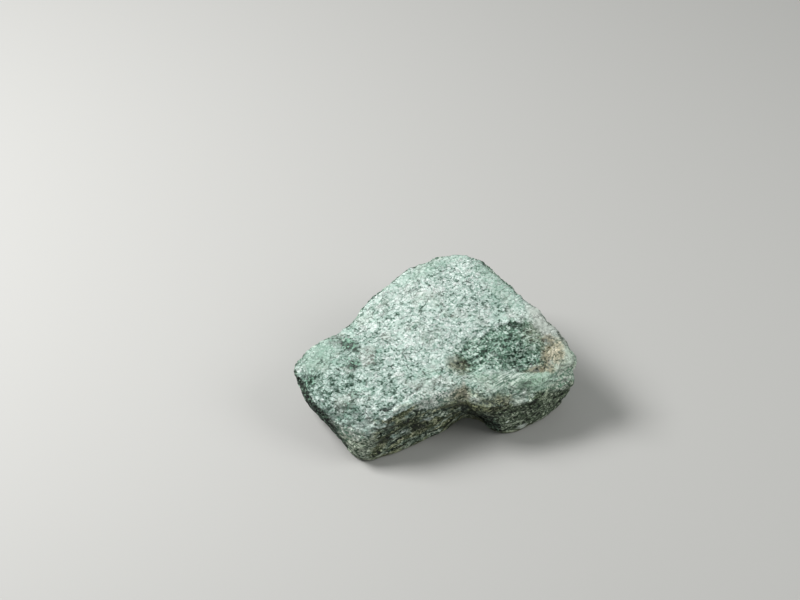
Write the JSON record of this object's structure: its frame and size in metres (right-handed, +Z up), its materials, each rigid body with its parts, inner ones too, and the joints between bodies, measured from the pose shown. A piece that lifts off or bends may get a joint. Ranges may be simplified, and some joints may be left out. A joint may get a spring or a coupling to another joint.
{
  "type": "rough fuchsite stone",
  "caption": "Piece of rough fuchsite: green chrome mica grown through pale quartz, with a sparkling layered top and steep broken sides.",
  "frame": {"origin": "on the flat break the stone rests on, under the middle of its outline", "axes": "+X along the stone's longest side, +Y to its back, +Z up"},
  "size_m": [0.061, 0.0446, 0.0234],
  "materials": {
    "fuchsite_rock": "rough, glittering mica flakes on a broken surface"
  },
  "bodies": {
    "root": {"fuchsite_stone": "fuchsite_rock"}
  },
  "joints": []
}
